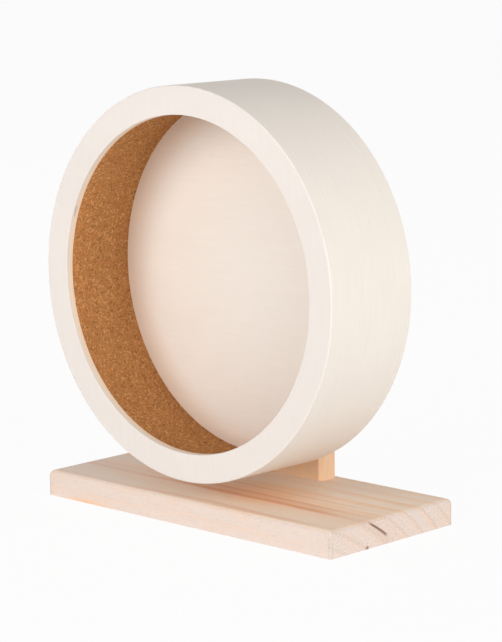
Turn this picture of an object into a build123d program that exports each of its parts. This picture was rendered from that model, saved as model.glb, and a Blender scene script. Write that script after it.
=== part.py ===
from build123d import *
import math
import os

# Rodent exercise wheel. A plywood drum, open at the front and lined with cork, turns on two
# ball bearings. Their bolt is fixed in an upright board that stands on a base board.
# Millimetres, +Z up. The origin is the centre of the base board's underside. The axle runs
# along Y, and the drum's mouth faces -Y.

# Drum
drum_radius = 140.0
drum_depth = 82.0
mouth_ring_width = 18.4
mouth_ring_thickness = 6.0
hoop_thickness = 2.0
liner_thickness = 4.3
cork_thickness = 3.0
facing_thickness = 4.0
disc_thickness = 6.0
edge_round = 0.6
hoop_edge_round = 0.9

# Joints in the bent strips, as angles seen from the front, counted from the right-hand side
strip_gap = 0.3
hoop_seam_angle = 215.0
liner_seam_angle = 305.0
cork_seam_angle = 335.0

# Hub
hub_radius = 32.0
hub_wall_behind_screws = 3.0
hub_rim_round = 2.5
hub_shoulder_radius = 9.6
hub_screw_circle_radius = 22.0
hub_screw_count = 4
hub_screw_shank_radius = 1.6
hub_screw_head_radius = 3.4
hub_screw_drive_width = 3.5

# Ball bearings
bearing_bore_radius = 4.0
bearing_outer_radius = 11.0
bearing_width = 7.0
inner_ring_wall = 2.0
outer_ring_wall = 1.5
ball_radius = 1.98
ball_count = 7
ball_clearance = 0.05
cage_half_wall = 0.8
cage_web = 0.35
cage_prong = 0.9
shield_thickness = 0.35
shield_recess = 0.4
shield_groove_depth = 0.4
shield_bore_clearance = 0.25
ring_corner = 0.3

# Axle
bolt_radius = 3.95
bolt_head_width = 13.0
bolt_head_height = 5.3
bolt_end_chamfer = 0.8
bolt_end_beyond_nut = 1.5
thin_washer_radius = 6.0
thin_washer_thickness = 1.0
thin_nut_height = 4.0
nut_width = 13.0
nut_height = 6.5
nut_corner_chamfer = 0.7
wide_washer_radius = 11.0
wide_washer_thickness = 1.6
spacer_length = 1.4
spacer_wall = 1.6

# Stand
base_length = 282.0
base_width = 129.0
base_thickness = 19.0
base_edge_round = 4.0
base_corner_round = 2.0
post_width = 74.0
post_thickness = 17.5
post_edge_chamfer = 3.0
post_setback = 5.0
drum_gap_above_base = 12.3

# Fastenings from the base board up into the upright
dowel_radius = 4.0
dowel_length = 40.0
dowel_spacing = 20.0
dowel_end_chamfer = 1.0
dowel_floor = 5.0
base_screw_length = 50.0
base_screw_spacing = 44.0
base_screw_shank_radius = 2.4
base_screw_head_radius = 4.8
base_screw_drive_width = 5.4
screw_recess = 0.5
screw_head_land = 0.4
screw_drive_arm_share = 0.21
screw_point_length_share = 2.0

# Clearances
glue_line = 0.1
shaft_clearance = 0.05
seat_clearance = 0.02
post_hole_clearance = 0.3
screw_clearance = 0.1
head_room = 0.7
head_hole_clearance = 4.5
nut_hole_clearance = 2.0
nut_recess = 0.4
dowel_clearance = 0.1
dowel_end_room = 0.5
cutter_overrun = 8.0

# Heights and places along the axle, worked out from the post forwards
axle_height = base_thickness + drum_gap_above_base + drum_radius
base_back_y = base_width / 2
post_back_y = base_back_y - post_setback
post_front_y = post_back_y - post_thickness
post_middle_y = (post_front_y + post_back_y) / 2
thin_nut_front_y = post_front_y - thin_nut_height
rear_bearing_back_y = thin_nut_front_y - thin_washer_thickness
rear_bearing_y = rear_bearing_back_y - bearing_width
front_bearing_back_y = rear_bearing_y - spacer_length
front_bearing_y = front_bearing_back_y - bearing_width
bolt_head_back_y = front_bearing_y - thin_washer_thickness
bolt_head_front_y = bolt_head_back_y - bolt_head_height
facing_back_y = bolt_head_front_y - head_room
drum_back_y = facing_back_y + disc_thickness
facing_front_y = facing_back_y - facing_thickness
drum_front_y = drum_back_y - drum_depth
hub_thickness = rear_bearing_back_y - drum_back_y
ring_back_y = drum_front_y + mouth_ring_thickness
nut_back_y = post_back_y - nut_recess
nut_front_y = nut_back_y - nut_height
counterbore_floor_y = nut_front_y - wide_washer_thickness
bolt_end_y = nut_back_y + bolt_end_beyond_nut

# Radii inside the drum
hoop_inner_radius = drum_radius - hoop_thickness
glued_disc_radius = hoop_inner_radius - glue_line
mouth_radius = glued_disc_radius - mouth_ring_width
liner_inner_radius = glued_disc_radius - liner_thickness
cork_outer_radius = liner_inner_radius - glue_line
track_radius = cork_outer_radius - cork_thickness

# Radii inside the bearings
inner_ring_radius = bearing_bore_radius + inner_ring_wall
outer_ring_radius = bearing_outer_radius - outer_ring_wall
pitch_radius = (inner_ring_radius + outer_ring_radius) / 2
race_radius = ball_radius + ball_clearance


def corner_radius(width):
    """Centre to corner of a hexagon of this width across its flats."""
    return width / math.sqrt(3)


def on_axle(shape):
    """Move a shape made round the origin, with its axis along Y, up to the axle."""
    return Pos(0, 0, axle_height) * shape


def turned(points):
    """Revolve a profile of (radius, y) points round the Y axis."""
    outline = Polyline(*[(radius, y) for radius, y in points], close=True)
    return revolve(make_face(outline), axis=Axis.Y)


def tube(inner_radius, outer_radius, front_y, back_y):
    """Plain ring or tube round the Y axis."""
    return turned([
        (inner_radius, front_y),
        (outer_radius, front_y),
        (outer_radius, back_y),
        (inner_radius, back_y),
    ])


def rod(radius, front_y, back_y):
    """Solid cylinder along the Y axis."""
    return tube(0, radius, front_y, back_y)


def edges_at(shape, radius, y):
    """Circular edges of a turned shape at one radius and one place along Y."""
    return [
        edge
        for edge in shape.edges().filter_by(GeomType.CIRCLE)
        if abs(edge.radius - radius) < 1e-3 and abs(edge.arc_center.Y - y) < 1e-3
    ]


def hex_prism(width, front_y, back_y):
    """Hexagonal prism along Y with one corner up."""
    hexagon = RegularPolygon(corner_radius(width), 6, rotation=30)
    face = Plane(origin=(0, back_y, 0), x_dir=(1, 0, 0), z_dir=(0, -1, 0)) * hexagon
    return extrude(face, amount=back_y - front_y)


def turned_hexagon(width, front_y, back_y, turned_ends):
    """Hexagonal prism along Y whose corners are turned down at the given ends."""
    blank = rod(corner_radius(width), front_y, back_y)
    rims = [edge for y in turned_ends for edge in edges_at(blank, corner_radius(width), y)]
    return hex_prism(width, front_y, back_y) & chamfer(rims, nut_corner_chamfer)


def cut_seam(ring, outer_radius, inner_radius, angle):
    """Open a butt joint in a strip that has been bent into a ring."""
    length = outer_radius - inner_radius + cutter_overrun
    middle = (outer_radius + inner_radius) / 2
    blade = Pos(middle, 0, 0) * Box(length, drum_depth * 2, strip_gap)
    return ring - Rot(0, -angle, 0) * blade


# Drum pieces


def mouth_ring():
    ring = tube(mouth_radius, glued_disc_radius, drum_front_y, ring_back_y)
    rims = edges_at(ring, mouth_radius, drum_front_y) + edges_at(ring, mouth_radius, ring_back_y)
    return fillet(rims, edge_round)


def outer_hoop():
    hoop = tube(hoop_inner_radius, drum_radius, drum_front_y, drum_back_y)
    rims = edges_at(hoop, drum_radius, drum_front_y) + edges_at(hoop, drum_radius, drum_back_y)
    hoop = fillet(rims, hoop_edge_round)
    return cut_seam(hoop, drum_radius, hoop_inner_radius, hoop_seam_angle)


def liner_hoop():
    hoop = tube(liner_inner_radius, glued_disc_radius, ring_back_y, facing_front_y)
    return cut_seam(hoop, glued_disc_radius, liner_inner_radius, liner_seam_angle)


def cork_lining():
    strip = tube(track_radius, cork_outer_radius, ring_back_y, facing_front_y)
    return cut_seam(strip, cork_outer_radius, track_radius, cork_seam_angle)


def facing_disc():
    return rod(glued_disc_radius, facing_front_y, facing_back_y)


def hub_screw_places():
    """Turns that carry a screw made above the axle to each place on its circle."""
    first = 180 / hub_screw_count
    step = 360 / hub_screw_count
    return [Rot(0, first + step * i, 0) for i in range(hub_screw_count)]


def wood_screw(length, shank_radius, head_radius, drive_width, growth):
    """Countersunk screw along +Z from its flat head at the origin, grown sideways by growth."""
    head_height = screw_head_land + head_radius - shank_radius
    point_length = shank_radius * screw_point_length_share
    outline = Polyline(
        (0, 0),
        (head_radius + growth, 0),
        (head_radius + growth, screw_head_land),
        (shank_radius + growth, head_height),
        (shank_radius + growth, length - point_length),
        (0, length + growth),
        close=True,
    )
    screw = revolve(make_face(Plane.XZ * outline), axis=Axis.Z)
    if drive_width:
        arm = drive_width * screw_drive_arm_share
        screw -= Box(drive_width, arm, head_height)
        screw -= Box(arm, drive_width, head_height)
    return screw


def hub_screw(growth=0.0, drive_width=0.0):
    """One screw of the hub, at the top of its circle, driven from the drum's side."""
    length = disc_thickness + hub_thickness - hub_wall_behind_screws
    screw = wood_screw(length, hub_screw_shank_radius, hub_screw_head_radius, drive_width, growth)
    pointing_back = Rot(-90, 0, 0) * screw
    return Pos(0, facing_back_y, hub_screw_circle_radius) * pointing_back


def back_disc():
    hole_radius = corner_radius(bolt_head_width) + head_hole_clearance
    disc = tube(hole_radius, glued_disc_radius, facing_back_y, drum_back_y)
    for place in hub_screw_places():
        disc -= place * hub_screw(growth=screw_clearance)
    return disc


def hub():
    """Turned boss with a seat for each bearing and a shoulder between their outer rings."""
    seat_radius = bearing_outer_radius + seat_clearance
    boss = turned([
        (seat_radius, drum_back_y),
        (hub_radius, drum_back_y),
        (hub_radius, rear_bearing_back_y),
        (seat_radius, rear_bearing_back_y),
        (seat_radius, rear_bearing_y),
        (hub_shoulder_radius, rear_bearing_y),
        (hub_shoulder_radius, front_bearing_back_y),
        (seat_radius, front_bearing_back_y),
    ])
    boss = fillet(edges_at(boss, hub_radius, rear_bearing_back_y), hub_rim_round)
    for place in hub_screw_places():
        boss -= place * hub_screw(growth=screw_clearance)
    return boss


def hub_screws():
    return [place * hub_screw(drive_width=hub_screw_drive_width) for place in hub_screw_places()]


# Bearing pieces, each made for one bearing whose front face is at y = 0


def race_groove():
    """Ring that clears the balls' path."""
    return Rot(90, 0, 0) * Torus(pitch_radius, race_radius)


def inner_ring():
    ring = tube(bearing_bore_radius, inner_ring_radius, 0, bearing_width)
    ring = chamfer(edges_at(ring, bearing_bore_radius, 0), ring_corner)
    ring = chamfer(edges_at(ring, bearing_bore_radius, bearing_width), ring_corner)
    return ring - Pos(0, bearing_width / 2, 0) * race_groove()


def outer_ring():
    groove_radius = outer_ring_radius + shield_groove_depth
    groove_end = shield_recess + shield_thickness
    ring = turned([
        (groove_radius, 0),
        (bearing_outer_radius, 0),
        (bearing_outer_radius, bearing_width),
        (groove_radius, bearing_width),
        (groove_radius, bearing_width - groove_end),
        (outer_ring_radius, bearing_width - groove_end),
        (outer_ring_radius, groove_end),
        (groove_radius, groove_end),
    ])
    rims = edges_at(ring, bearing_outer_radius, 0) + edges_at(ring, bearing_outer_radius, bearing_width)
    ring = chamfer(rims, ring_corner)
    return ring - Pos(0, bearing_width / 2, 0) * race_groove()


def shields():
    inner = inner_ring_radius + shield_bore_clearance
    outer = outer_ring_radius + shield_groove_depth - seat_clearance
    front = tube(inner, outer, shield_recess, shield_recess + shield_thickness)
    rear_y = bearing_width - shield_recess
    back = tube(inner, outer, rear_y - shield_thickness, rear_y)
    return [front, back]


def ball_places():
    step = 360 / ball_count
    middle = Pos(0, bearing_width / 2, 0)
    return [middle * Rot(0, step * i, 0) * Pos(0, 0, pitch_radius) for i in range(ball_count)]


def balls():
    return [place * Sphere(ball_radius) for place in ball_places()]


def ball_cage():
    """Crown cage: a ring on one side of the balls, with prongs that hold each ball."""
    middle = bearing_width / 2
    crown = tube(
        pitch_radius - cage_half_wall,
        pitch_radius + cage_half_wall,
        middle - race_radius - cage_web,
        middle + cage_prong,
    )
    for place in ball_places():
        crown -= place * Sphere(race_radius)
    return crown


# Axle pieces


def axle_bolt():
    head = turned_hexagon(bolt_head_width, bolt_head_front_y, bolt_head_back_y, [bolt_head_front_y])
    shank = rod(bolt_radius, bolt_head_back_y, bolt_end_y)
    shank = chamfer(edges_at(shank, bolt_radius, bolt_end_y), bolt_end_chamfer)
    return head + shank


def thin_washer(front_y):
    bore_radius = bearing_bore_radius + shaft_clearance
    return tube(bore_radius, thin_washer_radius, front_y, front_y + thin_washer_thickness)


def bearing_spacer():
    inner = bolt_radius + shaft_clearance
    return tube(inner, inner + spacer_wall, front_bearing_back_y, rear_bearing_y)


def nut(front_y, back_y):
    body = turned_hexagon(nut_width, front_y, back_y, [front_y, back_y])
    return body - rod(bolt_radius + shaft_clearance, front_y, back_y)


def wide_washer():
    inner = bolt_radius + post_hole_clearance
    return tube(inner, wide_washer_radius, counterbore_floor_y, nut_front_y)


# Stand pieces


def base_board():
    board = Pos(0, 0, base_thickness / 2) * Box(base_length, base_width, base_thickness)
    board = fillet(board.edges().filter_by(Axis.Z), base_corner_round)
    board = fillet(board.faces().sort_by(Axis.Z)[-1].outer_wire().edges(), base_edge_round)
    return with_fastening_holes(board)


def upright():
    """Board on end with a rounded head, bevelled edges and a sunk seat for the axle nut."""
    half_width = post_width / 2
    outline = Polyline(
        (-half_width, axle_height),
        (-half_width, base_thickness),
        (half_width, base_thickness),
        (half_width, axle_height),
    ) + ThreePointArc(
        (half_width, axle_height),
        (0, axle_height + half_width),
        (-half_width, axle_height),
    )
    face = make_face(Plane(origin=(0, post_back_y, 0), x_dir=(1, 0, 0), z_dir=(0, -1, 0)) * outline)
    board = extrude(face, amount=post_thickness)
    flats = board.faces().sort_by(Axis.Y)
    long_edges = [
        edge
        for edge in flats[0].edges() + flats[-1].edges()
        if edge.center().Z > base_thickness + post_edge_chamfer
    ]
    board = chamfer(long_edges, post_edge_chamfer)
    board -= on_axle(rod(bolt_radius + post_hole_clearance, post_front_y, post_back_y))
    sunk = corner_radius(nut_width) + nut_hole_clearance
    sunk = max(sunk, wide_washer_radius + nut_hole_clearance)
    board -= on_axle(rod(sunk, counterbore_floor_y, post_back_y))
    return with_fastening_holes(board)


def both_sides(spacing):
    return (-spacing / 2, spacing / 2)


def base_screw_at(x, growth=0.0, drive_width=0.0):
    screw = wood_screw(
        base_screw_length, base_screw_shank_radius, base_screw_head_radius, drive_width, growth
    )
    return Pos(x, post_middle_y, screw_recess) * screw


def base_screws():
    return [base_screw_at(x, drive_width=base_screw_drive_width) for x in both_sides(base_screw_spacing)]


def dowel_at(x, growth=0.0, end_room=0.0):
    """Dowel from the base board into the upright, or its hole with growth and end room."""
    length = dowel_length + end_room * 2
    dowel = Cylinder(dowel_radius + growth, length, align=(Align.CENTER, Align.CENTER, Align.MIN))
    return Pos(x, post_middle_y, dowel_floor - end_room) * dowel


def dowels():
    pegs = [dowel_at(x) for x in both_sides(dowel_spacing)]
    return [chamfer(peg.edges().filter_by(GeomType.CIRCLE), dowel_end_chamfer) for peg in pegs]


def with_fastening_holes(board):
    """Cut the screw and dowel holes that the base board and the upright share."""
    for x in both_sides(base_screw_spacing):
        board -= base_screw_at(x, growth=screw_clearance)
        mouth = Cylinder(base_screw_head_radius + screw_clearance, screw_recess * 2)
        board -= Pos(x, post_middle_y, 0) * mouth
    for x in both_sides(dowel_spacing):
        board -= dowel_at(x, growth=dowel_clearance, end_room=dowel_end_room)
    return board


def at_bearings(shapes):
    """Copies of one bearing's pieces at the front and the rear bearing."""
    return [[Pos(0, y, 0) * shape for shape in shapes] for y in (front_bearing_y, rear_bearing_y)]


def save(name, solids):
    """Write one node, made of one or more separate solids."""
    shape = solids[0] if len(solids) == 1 else Compound(children=list(solids))
    shape.label = name
    export_step(shape, f"parts/{name}.step")


def main():
    os.makedirs("parts", exist_ok=True)
    front, rear = 0, 1
    outer_rings = at_bearings([outer_ring()])
    inner_rings = at_bearings([inner_ring()])
    ball_sets = at_bearings(balls())
    cages = at_bearings([ball_cage()])
    covers = at_bearings(shields())
    axle_nodes = {
        "mouth_ring": [mouth_ring()],
        "outer_hoop": [outer_hoop()],
        "liner_hoop": [liner_hoop()],
        "cork_lining": [cork_lining()],
        "facing_disc": [facing_disc()],
        "back_disc": [back_disc()],
        "hub": [hub()],
        "hub_screws": hub_screws(),
        "front_bearing_outer_ring": outer_rings[front],
        "front_bearing_inner_ring": inner_rings[front],
        "front_bearing_balls": ball_sets[front],
        "front_bearing_cage": cages[front],
        "front_bearing_shields": covers[front],
        "rear_bearing_outer_ring": outer_rings[rear],
        "rear_bearing_inner_ring": inner_rings[rear],
        "rear_bearing_balls": ball_sets[rear],
        "rear_bearing_cage": cages[rear],
        "rear_bearing_shields": covers[rear],
        "axle_bolt": [axle_bolt()],
        "head_washer": [thin_washer(bolt_head_back_y)],
        "bearing_spacer": [bearing_spacer()],
        "rear_washer": [thin_washer(rear_bearing_back_y)],
        "thin_nut": [nut(thin_nut_front_y, post_front_y)],
        "wide_washer": [wide_washer()],
        "axle_nut": [nut(nut_front_y, nut_back_y)],
    }
    for name, solids in axle_nodes.items():
        save(name, [on_axle(solid) for solid in solids])
    save("base_board", [base_board()])
    save("upright", [upright()])
    save("base_screws", base_screws())
    save("dowels", dowels())


main()
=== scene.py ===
import math
from contextlib import contextmanager

import bmesh
import bpy
from bpy.props import FloatProperty, FloatVectorProperty, IntProperty, PointerProperty
from bpy.types import Operator, Panel, PropertyGroup
from mathutils import Matrix, Vector


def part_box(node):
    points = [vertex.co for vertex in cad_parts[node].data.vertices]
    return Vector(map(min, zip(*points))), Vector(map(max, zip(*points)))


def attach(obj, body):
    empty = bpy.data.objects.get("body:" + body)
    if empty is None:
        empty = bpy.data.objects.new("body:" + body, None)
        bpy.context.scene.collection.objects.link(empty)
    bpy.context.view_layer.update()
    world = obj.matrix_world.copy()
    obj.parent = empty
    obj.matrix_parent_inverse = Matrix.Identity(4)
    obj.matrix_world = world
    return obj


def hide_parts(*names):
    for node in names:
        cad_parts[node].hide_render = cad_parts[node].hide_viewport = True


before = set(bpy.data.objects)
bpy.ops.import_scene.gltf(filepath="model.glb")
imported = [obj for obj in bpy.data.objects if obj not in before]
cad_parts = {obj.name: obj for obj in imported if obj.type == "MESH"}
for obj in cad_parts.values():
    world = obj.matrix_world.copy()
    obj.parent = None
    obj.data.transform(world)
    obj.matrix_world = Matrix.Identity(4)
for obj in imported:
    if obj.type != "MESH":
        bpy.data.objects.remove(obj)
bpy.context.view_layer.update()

bl_info = {
    "name": "Rodent Exercise Wheel",
    "version": (1, 0, 0),
    "blender": (4, 5, 0),
    "location": "3D View > Sidebar > Exercise Wheel",
    "description": "Builds a cork-lined plywood running wheel on its pine stand",
    "category": "Add Mesh",
}

MM = 0.001
WHEEL = "wheel"
STAND = "stand"


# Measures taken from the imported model


def span(node):
    """Front and back of a node along the axle."""
    low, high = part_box(node)
    return low.y, high.y


def reach(node):
    """Outer radius of a turned node."""
    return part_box(node)[1].x


HOOP_LOW, HOOP_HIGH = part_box("outer_hoop")
DRUM_RADIUS = HOOP_HIGH.x
AXLE_HEIGHT = (HOOP_LOW.z + HOOP_HIGH.z) / 2
BASE_LOW, BASE_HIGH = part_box("base_board")
POST_LOW, POST_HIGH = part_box("upright")


# The studio, in metres and degrees


FLOOR_SIZE = 60.0
LAMP_SIZE = 2.0
LAMP_HEIGHT = 0.6
LAMP_PLACES = {"front": (0.0, -2.8), "corner": (2.6, -1.0), "right": (2.8, 0.0), "left": (-2.8, 0.0)}
LAMP_TARGET = Vector((0.0, 0.0, 0.15))
CAMERA_PLACE = (1.22631, -1.27807, 0.43888)
# Turn to the left, upward tilt and roll
CAMERA_TURNS = (43.64, -9.62, -0.51)


# Properties


def length(name, description, default):
    return FloatProperty(name=name, description=description, default=default, min=0.0, unit="LENGTH")


def angle(name, description, degrees):
    return FloatProperty(
        name=name, description=description, default=math.radians(degrees), subtype="ANGLE"
    )


def power(name, description, default):
    return FloatProperty(name=name, description=description, default=default, min=0.0, unit="POWER")


def colour(name, description, default):
    return FloatVectorProperty(
        name=name, description=description, default=(*default, 1.0), size=4, min=0.0, max=1.0,
        subtype="COLOR",
    )


class DrumSizes(PropertyGroup):
    mouth_radius: length("Mouth radius", "Radius of the drum's open mouth", 119.5 * MM)
    ring_fit: length("Ring fit", "Gap between the mouth ring and the outer hoop", 0.02 * MM)
    mouth_round: length("Mouth rounding", "Rounding of the mouth's two rims", 0.6 * MM)
    hoop_thickness: length("Hoop thickness", "Thickness of the bent outer hoop", 2.0 * MM)
    hoop_round: length("Hoop rounding", "Rounding of the outer hoop's rims", 0.9 * MM)
    cork_thickness: length("Cork thickness", "Thickness of the cork running track", 3.0 * MM)
    cork_relief: length("Cork relief", "Depth of the grain in the cork's face", 0.28 * MM)
    strip_gap: length("Strip gap", "Gap at the butt joint of a bent strip", 0.3 * MM)
    hoop_seam: angle("Hoop joint", "Place of the outer hoop's butt joint", 215.0)
    cork_seam: angle("Cork joint", "Place of the cork's butt joint", 335.0)
    steps: IntProperty(
        name="Steps round the drum", description="Facets round the drum", default=288, min=48, max=720
    )


class HubSizes(PropertyGroup):
    seat_radius: length("Bearing seat", "Radius of the seats for the bearings", 11.02 * MM)
    shoulder_radius: length("Shoulder", "Radius of the shoulder between the bearings", 9.6 * MM)
    rim_round: length("Rim rounding", "Rounding of the hub's outer rim", 2.5 * MM)
    screw_circle: length("Screw circle", "Radius of the circle of hub screws", 22.0 * MM)
    screw_radius: length("Screw hole", "Radius of the hub's screw holes", 1.7 * MM)


class StandSizes(PropertyGroup):
    post_bevel: length("Upright bevel", "Bevel of the upright's long edges", 3.0 * MM)
    bolt_hole_radius: length("Bolt hole", "Radius of the bolt's hole in the upright", 4.25 * MM)
    nut_seat_radius: length("Nut seat", "Radius of the sunk seat of the axle nut", 13.0 * MM)
    screw_spacing: length("Screw spacing", "Distance between the two base screws", 44.0 * MM)
    screw_hole: length("Screw hole", "Radius of the base screws' holes in the upright", 2.5 * MM)
    dowel_radius: length("Dowel radius", "Radius of the dowels", 4.0 * MM)
    crack_depth: length("Crack depth", "Depth of the drying crack in the end grain", 1.4 * MM)


class AxleSizes(PropertyGroup):
    bolt_radius: length("Bolt radius", "Radius of the bolt's shank", 3.95 * MM)
    thread_pitch: length("Thread pitch", "Pitch of the bolt's thread", 1.25 * MM)
    thread_depth: length("Thread depth", "Depth of the bolt's thread", 0.65 * MM)
    nut_bevel: length("Nut bevel", "Turned-off corners of the nuts and the head", 0.7 * MM)
    end_bevel: length("End bevel", "Bevel of the bolt's threaded end", 0.8 * MM)
    washer_hole: length("Washer hole", "Radius of the wide washer's hole", 4.25 * MM)
    washer_round: length("Washer rounding", "Rounding of the wide washer's rim", 0.2 * MM)


class FinishColours(PropertyGroup):
    ring: colour("Mouth ring", "Pale veneer of the mouth ring", (0.80, 0.735, 0.685))
    hoop: colour("Outer hoop", "Pale veneer of the outer hoop", (0.85, 0.78, 0.705))
    # Painted light: the discs' veneer is lighter than the ring's, to make up for the shade inside the
    # drum; the back disc shares it.
    disc: colour("Discs", "Veneer of the facing disc and the back disc", (0.925, 0.86, 0.785))
    ply_edge: colour("Ply edges", "Cut edges of the outer plies", (0.88, 0.74, 0.60))
    glue_layer: colour("Inner plies", "Darker inner plies, seen at the edges", (0.86, 0.68, 0.51))
    cork: colour("Cork", "Middle tone of the cork", (0.55, 0.243, 0.08))
    cork_dark: colour("Dark cork", "Bark grains in the cork", (0.21, 0.083, 0.032))
    cork_light: colour("Light cork", "Pale grains in the cork", (0.775, 0.435, 0.17))
    pine: colour("Pine", "Early wood of the base board's sides", (0.79, 0.665, 0.59))
    # Painted light: a lighter, warmer copy of the pine for the board's top.
    pine_top_painted_light: colour("Top, painted light", "Lighter, warmer copy of the pine on the base board's top, painted light", (0.94, 0.765, 0.615))
    # Partly painted shade: the upright's pine is a more orange copy of the base's, since its front stands
    # in the drum's shadow.
    pine_upright_and_shade: colour("Upright", "Early wood of the upright, more orange with painted shade", (0.80, 0.555, 0.365))
    pine_ring: colour("Pine rings", "Late wood of the pine boards", (0.92, 0.55, 0.31))
    beech: colour("Beech", "Turned hub and dowels", (0.66, 0.44, 0.28))
    zinc: colour("Zinc plate", "Plated bolt, nuts and washers", (0.62, 0.63, 0.65))
    screw_zinc: colour("Screws", "Plated wood screws", (0.66, 0.63, 0.55))
    steel: colour("Bearing steel", "Ground bearing rings, balls and shields", (0.70, 0.71, 0.72))
    nylon: colour("Cage", "Moulded cage of the balls", (0.78, 0.76, 0.68))


class StudioSettings(PropertyGroup):
    front_lamp: power("Front lamp", "Large lamp before the mouth", 44.0)
    corner_lamp: power("Corner lamp", "Lamp at the front right", 29.0)
    right_lamp: power("Right lamp", "Lamp on the right", 23.5)
    left_lamp: power("Left lamp", "Lamp on the left", 23.0)
    sky: FloatProperty(
        name="Surroundings", description="Level of the pale room round the wheel", default=0.39
    )
    lens: FloatProperty(
        name="Lens", description="Focal length of the camera", default=140.29, unit="CAMERA"
    )


class ExerciseWheel(PropertyGroup):
    drum: PointerProperty(type=DrumSizes)
    hub: PointerProperty(type=HubSizes)
    stand: PointerProperty(type=StandSizes)
    axle: PointerProperty(type=AxleSizes)
    colours: PointerProperty(type=FinishColours)
    studio: PointerProperty(type=StudioSettings)


def settings():
    return bpy.context.scene.exercise_wheel


# Modelling steps


# Metres by which two places may differ and still count as one, and still count as on the axle
SLACK = 1e-5
ON_AXLE = 1e-7
# Facets round a bolt, a nut or a washer
FACETS = 96


def only(piece):
    """Leave edit mode, deselect everything and take one piece in hand."""
    if bpy.context.object and bpy.context.object.mode != "OBJECT":
        bpy.ops.object.mode_set(mode="OBJECT")
    bpy.ops.object.select_all(action="DESELECT")
    if piece:
        piece.select_set(True)
        bpy.context.view_layer.objects.active = piece


@contextmanager
def editing(piece, mode="VERT"):
    """Edit mode on one piece, with vertices, edges or faces to select."""
    only(piece)
    bpy.ops.object.mode_set(mode="EDIT")
    bpy.ops.mesh.select_mode(type=mode)
    yield
    bpy.ops.object.mode_set(mode="OBJECT")


def pick(piece, kind, test):
    """In edit mode, select the vertices, edges or faces whose middle passes a test."""
    bpy.ops.mesh.select_mode(type=kind)
    bpy.ops.mesh.select_all(action="DESELECT")
    mesh = bmesh.from_edit_mesh(piece.data)
    found = {"VERT": mesh.verts, "EDGE": mesh.edges, "FACE": mesh.faces}[kind]
    for part in found:
        if kind == "VERT":
            middle = part.co
        else:
            middle = sum((v.co for v in part.verts), Vector()) / len(part.verts)
        if test(middle, part):
            part.select = True
    mesh.select_flush_mode()
    bmesh.update_edit_mesh(piece.data)


def weld(threshold=1e-7):
    """In edit mode, merge vertices that lie together."""
    bpy.ops.mesh.select_all(action="SELECT")
    bpy.ops.mesh.remove_doubles(threshold=threshold)


def face_outward():
    """In edit mode, turn every face outward."""
    bpy.ops.mesh.select_all(action="SELECT")
    bpy.ops.mesh.normals_make_consistent(inside=False)


def near(value, target):
    return abs(value - target) < SLACK


def from_axle(point):
    """Radius and place along the axle of a point."""
    return math.hypot(point.x, point.z - AXLE_HEIGHT), point.y


def at_angle(radius, turn, y):
    """Point at a radius from the axle. Angles start at the right and go up, seen from the front."""
    return Vector((radius * math.cos(turn), y, AXLE_HEIGHT + radius * math.sin(turn)))


def chain(name, points):
    """Draw an open chain by extruding one vertex from point to point."""
    only(None)
    bpy.ops.mesh.primitive_plane_add(size=MM, location=points[0])
    piece = bpy.context.object
    piece.name = name
    bpy.ops.object.transform_apply(location=True, rotation=True, scale=True)
    with editing(piece):
        bpy.ops.mesh.select_all(action="SELECT")
        bpy.ops.mesh.merge(type="CENTER")
        for here, there in zip(points, points[1:]):
            step = tuple(Vector(there) - Vector(here))
            bpy.ops.mesh.extrude_vertices_move(TRANSFORM_OT_translate={"value": step})
    return piece


def filled(name, points):
    """Draw a flat shape through its corners."""
    piece = chain(name, points)
    with editing(piece):
        bpy.ops.mesh.select_all(action="SELECT")
        bpy.ops.mesh.edge_face_add()
    return piece


def thicken(piece, step):
    """Extrude a flat shape by a step into a solid."""
    with editing(piece, "FACE"):
        bpy.ops.mesh.select_all(action="SELECT")
        bpy.ops.mesh.extrude_region_move(TRANSFORM_OT_translate={"value": tuple(step)})
        face_outward()
    return piece


def section(inner, outer, front, back):
    """Outline of a plain ring or disc, as (radius, y) points."""
    return [(inner, front), (outer, front), (outer, back), (inner, back)]


def turn(name, outline, steps, rounded=(), rounding=0.0, facets=4, cuts=None, seam=0.0, gap=0.0):
    """Spin an outline of (radius, y) points round the axle.

    Corners listed in rounded are first rounded with a number of facets. cuts is (radius, count), to
    divide the outline's edge at that radius. With a gap the ring stays open at the seam's angle and
    its ends are filled.
    """
    half_gap = gap / 2 / outline[0][0] if gap else 0.0
    piece = filled(name, [at_angle(radius, seam + half_gap, y) for radius, y in outline])

    def is_at(corner, place):
        radius, y = from_axle(place)
        return near(radius, corner[0]) and near(y, corner[1])

    with editing(piece):
        if rounded:
            pick(piece, "VERT", lambda place, _: any(is_at(corner, place) for corner in rounded))
            bpy.ops.mesh.bevel(affect="VERTICES", offset=rounding, segments=facets)
        if cuts:
            pick(piece, "EDGE", lambda place, _: near(from_axle(place)[0], cuts[0]))
            bpy.ops.mesh.subdivide(number_cuts=cuts[1])
        if not gap:
            pick(piece, "FACE", lambda *_: True)
            bpy.ops.mesh.delete(type="ONLY_FACE")
            pick(piece, "EDGE", lambda _, part: all(from_axle(v.co)[0] < ON_AXLE for v in part.verts))
            bpy.ops.mesh.delete(type="EDGE")
            bpy.ops.mesh.select_mode(type="VERT")
        bpy.ops.mesh.select_all(action="SELECT")
        bpy.ops.mesh.spin(
            steps=steps, angle=2 * math.pi - 2 * half_gap, center=(0.0, 0.0, AXLE_HEIGHT),
            axis=(0.0, -1.0, 0.0),
        )
        weld()
        face_outward()
    return piece


def copied(node, name):
    """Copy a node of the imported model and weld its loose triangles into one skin."""
    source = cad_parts[node]
    piece = bpy.data.objects.new(name, source.data.copy())
    bpy.context.scene.collection.objects.link(piece)
    piece.matrix_world = source.matrix_world
    only(piece)
    bpy.ops.mesh.customdata_custom_splitnormals_clear()
    bpy.ops.object.transform_apply(location=True, rotation=True, scale=True)
    with editing(piece):
        weld(1e-6)
    return piece


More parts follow.
